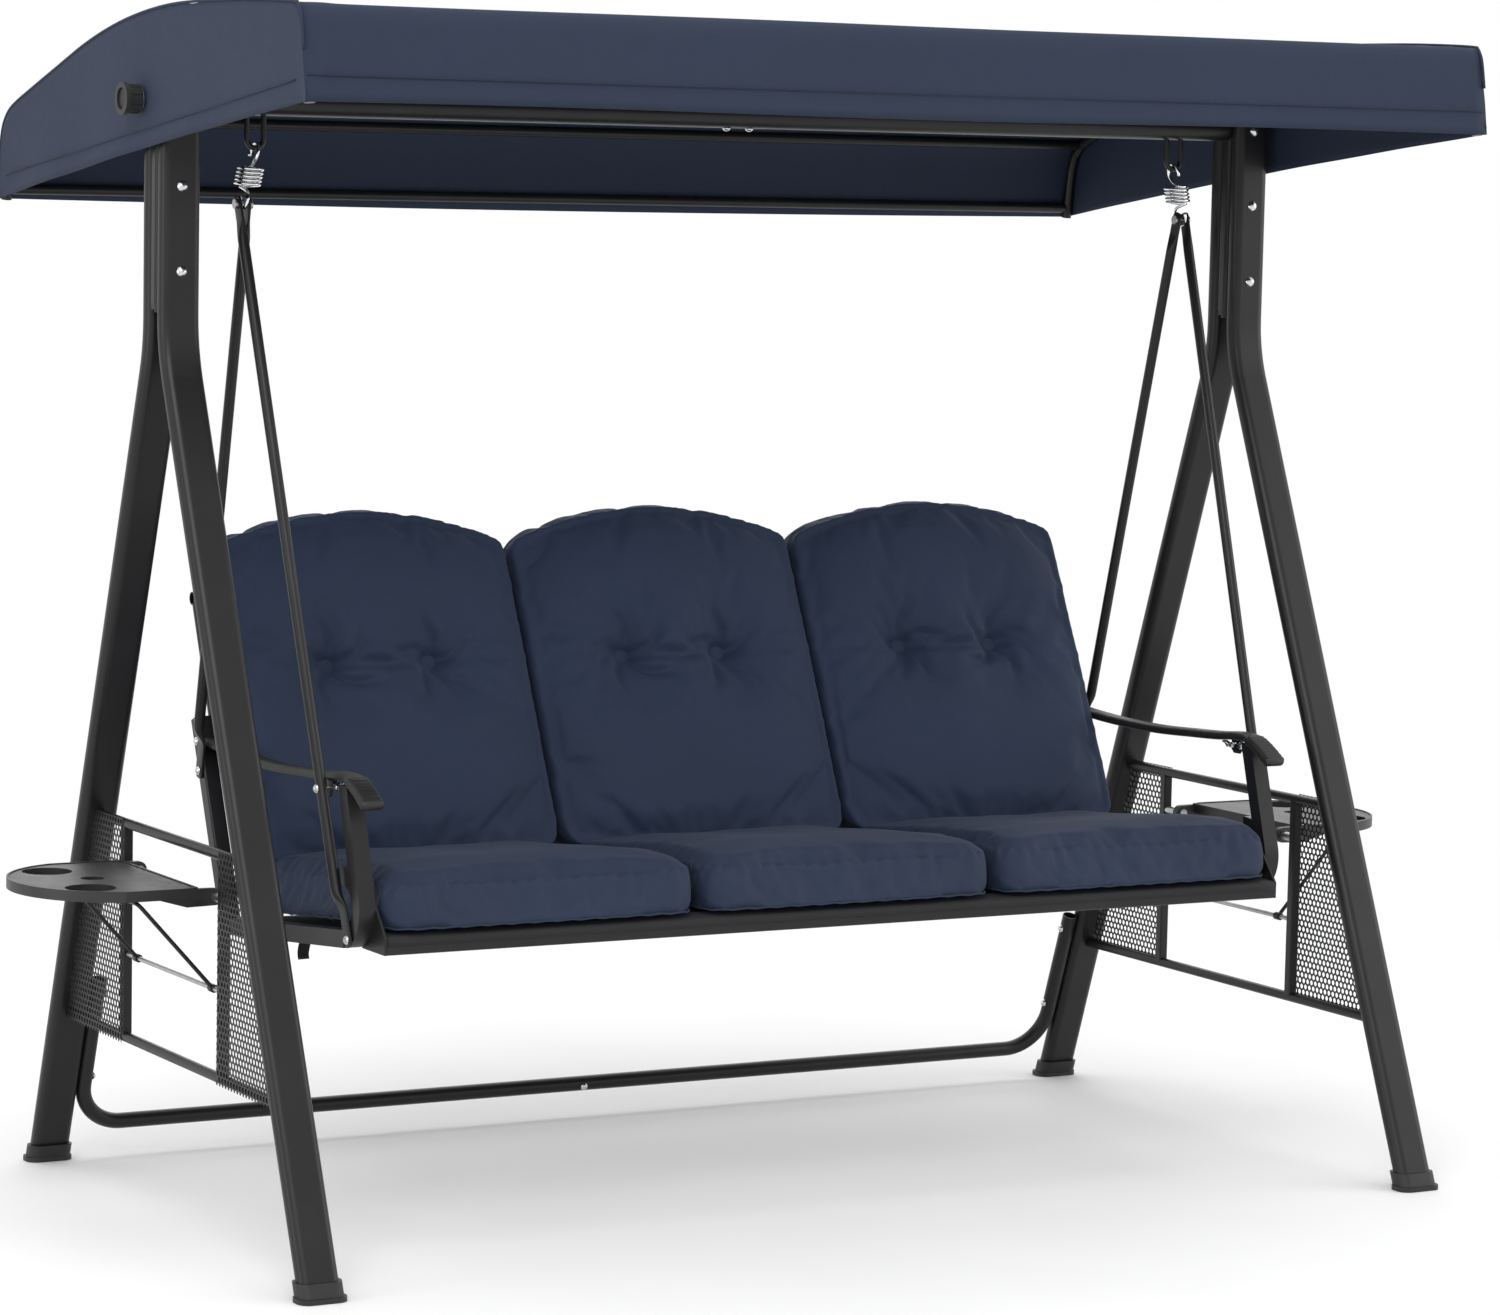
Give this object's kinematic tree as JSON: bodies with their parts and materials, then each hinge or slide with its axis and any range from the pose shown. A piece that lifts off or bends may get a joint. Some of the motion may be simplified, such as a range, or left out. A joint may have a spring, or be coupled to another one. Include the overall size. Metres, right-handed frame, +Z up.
{
  "type": "porch glider swing",
  "caption": "Free-standing porch swing: cushioned bench hung on springs from an A-frame stand, with a tilting fabric canopy and fold-down side trays.",
  "frame": {"origin": "on the floor, midway between the two A-frames and under the overhead beam", "axes": "+X to the right of somebody facing the front of the swing, -Y out of its front, +Z up"},
  "size_m": [2.32, 1.1587, 1.746],
  "materials": {
    "frame_paint": "satin charcoal powder coat",
    "panel_mesh": "satin charcoal powder coat on perforated sheet",
    "black_plastic": "moulded black",
    "tray_plastic": "moulded charcoal, fine grain",
    "zinc_steel": "zinc plated",
    "bright_steel": "bright plated",
    "spring_chrome": "polished",
    "canopy_cloth": "woven navy polyester",
    "seat_cloth": "woven navy polyester",
    "back_cloth": "woven navy polyester",
    "sling_cloth": "black woven mesh"
  },
  "bodies": {
    "stand": {"front_leg_left": "frame_paint", "front_leg_right": "frame_paint", "rear_leg_left": "frame_paint", "rear_leg_right": "frame_paint", "foot_caps": "black_plastic", "head_post_left": "frame_paint", "head_post_right": "frame_paint", "post_plugs": "black_plastic", "beam_left": "frame_paint", "beam_right": "frame_paint", "beam_sleeve": "zinc_steel", "beam_bolts": "bright_steel", "beam_loops": "frame_paint", "post_bolts": "bright_steel", "cross_tube_left": "frame_paint", "cross_tube_right": "frame_paint", "cross_sleeve": "zinc_steel", "cross_bolts": "bright_steel", "panel_rails_left": "frame_paint", "panel_rails_right": "frame_paint", "panel_bars_left": "frame_paint", "panel_bars_right": "frame_paint", "panel_plates_left": "panel_mesh", "panel_plates_right": "panel_mesh", "tray_pins": "zinc_steel", "stay_rods": "zinc_steel", "tilt_washers": "black_plastic"},
    "canopy": {"canopy_arm_left": "frame_paint", "canopy_arm_right": "frame_paint", "canopy_bars": "frame_paint", "canopy_cover": "canopy_cloth", "grommets": "bright_steel"},
    "knob_left": {"knob_left": "black_plastic"},
    "knob_right": {"knob_right": "black_plastic"},
    "suspension": {"spring_left": "spring_chrome", "spring_right": "spring_chrome"},
    "seat": {"hanger_front_left": "frame_paint", "hanger_front_right": "frame_paint", "hanger_rear_left": "frame_paint", "hanger_rear_right": "frame_paint", "hanger_pins": "zinc_steel", "seat_side_left": "frame_paint", "seat_side_right": "frame_paint", "back_post_left": "frame_paint", "back_post_right": "frame_paint", "seat_cross_tubes": "frame_paint", "seat_sling": "sling_cloth", "back_sling": "sling_cloth", "armrest_left": "black_plastic", "armrest_right": "black_plastic", "seat_bolts": "bright_steel", "seat_cushions": "seat_cloth", "back_cushion_1": "back_cloth", "back_cushion_2": "back_cloth", "back_cushion_3": "back_cloth"},
    "tray_left": {"tray_left": "tray_plastic"},
    "tray_right": {"tray_right": "tray_plastic"},
    "stay_left": {"stay_left": "frame_paint"},
    "stay_right": {"stay_right": "frame_paint"}
  },
  "joints": [
    {"name": "seat_swing", "type": "hinge", "parent": "stand", "child": "suspension", "pos_m": [0, 0, 1.549], "axis": [1, 0, 0], "range_deg": [-18, 18]},
    {"name": "seat_bounce", "type": "slide", "parent": "suspension", "child": "seat", "axis": [0, 0, 1], "range_m": [-0.012, 0], "stiffness_N_per_m": 60000, "springref_m": 0.011, "deforming": ["spring_left", "spring_right"]},
    {"name": "canopy_tilt", "type": "hinge", "parent": "stand", "child": "canopy", "pos_m": [0, 0, 1.614], "axis": [1, 0, 0], "range_deg": [-10, 10]},
    {"name": "knob_left_turn", "type": "hinge", "parent": "stand", "child": "knob_left", "pos_m": [-0.915, 0, 1.614], "axis": [-1, 0, 0], "range_deg": [0, 360]},
    {"name": "knob_right_turn", "type": "hinge", "parent": "stand", "child": "knob_right", "pos_m": [0.915, 0, 1.614], "axis": [1, 0, 0], "range_deg": [0, 360]},
    {"name": "tray_left_fold", "type": "hinge", "parent": "stand", "child": "tray_left", "pos_m": [-0.915, -0.0325, 0.499], "axis": [0, -1, 0], "range_deg": [0, 75]},
    {"name": "tray_right_fold", "type": "hinge", "parent": "stand", "child": "tray_right", "pos_m": [0.915, -0.0325, 0.499], "axis": [0, 1, 0], "range_deg": [0, 75]},
    {"name": "stay_left_turn", "type": "hinge", "parent": "stand", "child": "stay_left", "pos_m": [-0.915, -0.0325, 0.368], "axis": [0, -1, 0], "range_deg": [0, 112.5]},
    {"name": "stay_right_turn", "type": "hinge", "parent": "stand", "child": "stay_right", "pos_m": [0.915, -0.0325, 0.368], "axis": [0, 1, 0], "range_deg": [0, 112.5]}
  ],
  "couplings": [
    {"joint": "stay_left_turn", "follows": "tray_left_fold", "ratio": 1.5},
    {"joint": "stay_right_turn", "follows": "tray_right_fold", "ratio": 1.5}
  ]
}
